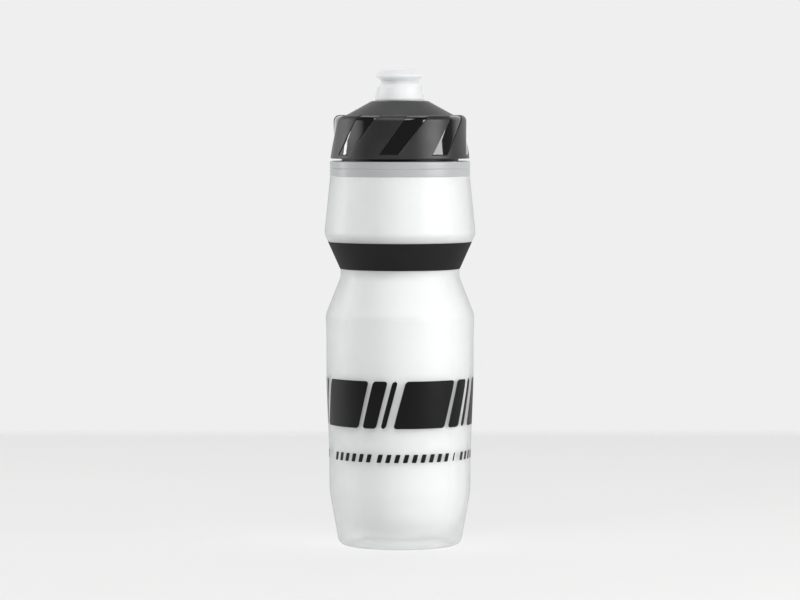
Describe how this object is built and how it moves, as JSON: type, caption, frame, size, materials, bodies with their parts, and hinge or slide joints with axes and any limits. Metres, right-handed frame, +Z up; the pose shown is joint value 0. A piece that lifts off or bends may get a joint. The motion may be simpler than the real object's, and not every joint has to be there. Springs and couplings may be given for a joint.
{
  "type": "water bottle",
  "caption": "Double-walled squeeze water bottle for a bicycle cage, with a waist groove, a screw cap with a soft grip skin and a push-pull nozzle.",
  "frame": {"origin": "centre of the base, on the surface that the bottle stands on", "axes": "+Z up along the bottle's axis, front with the printed marks towards -Y, +X to the right of someone who looks at the front"},
  "size_m": [0.0752, 0.0752, 0.237],
  "materials": {
    "frosted_wall": "frosted translucent low-density polyethylene, blown",
    "white_liner": "white low-density polyethylene, blown",
    "frosted_collar": "frosted translucent polyethylene, injection moulded",
    "band_rubber": "fine diamond texture",
    "gasket_rubber": "satin silicone",
    "gloss_cap": "glossy polypropylene",
    "soft_skin": "soft-touch matte elastomer",
    "valve_plastic": "satin polypropylene",
    "seal_rubber": "smooth",
    "carrier_plastic": "satin polypropylene",
    "nozzle_silicone": "translucent satin silicone"
  },
  "bodies": {
    "bottle": {"outer_shell": "frosted_wall", "inner_bottle": "white_liner", "neck_collar": "frosted_collar", "grip_band": "band_rubber"},
    "gasket": {"cap_gasket": "gasket_rubber"},
    "cap": {"cap_shell": "gloss_cap", "cap_grip": "soft_skin", "valve_core": "valve_plastic", "valve_seal": "seal_rubber"},
    "nozzle": {"valve_carrier": "carrier_plastic", "mouthpiece": "nozzle_silicone"}
  },
  "joints": [
    {"name": "cap_rise", "type": "slide", "parent": "bottle", "child": "gasket", "axis": [0, 0, 1], "range_m": [0, 0.0201]},
    {"name": "cap_twist", "type": "hinge", "parent": "gasket", "child": "cap", "pos_m": [0, 0, 0.2], "axis": [0, 0, 1], "range_deg": [0, 1440]},
    {"name": "nozzle_pull", "type": "slide", "parent": "cap", "child": "nozzle", "axis": [0, 0, 1], "range_m": [0, 0.005]}
  ],
  "couplings": [
    {"joint": "cap_rise", "follows": "cap_twist", "m_per_rad": 0.00079577}
  ]
}
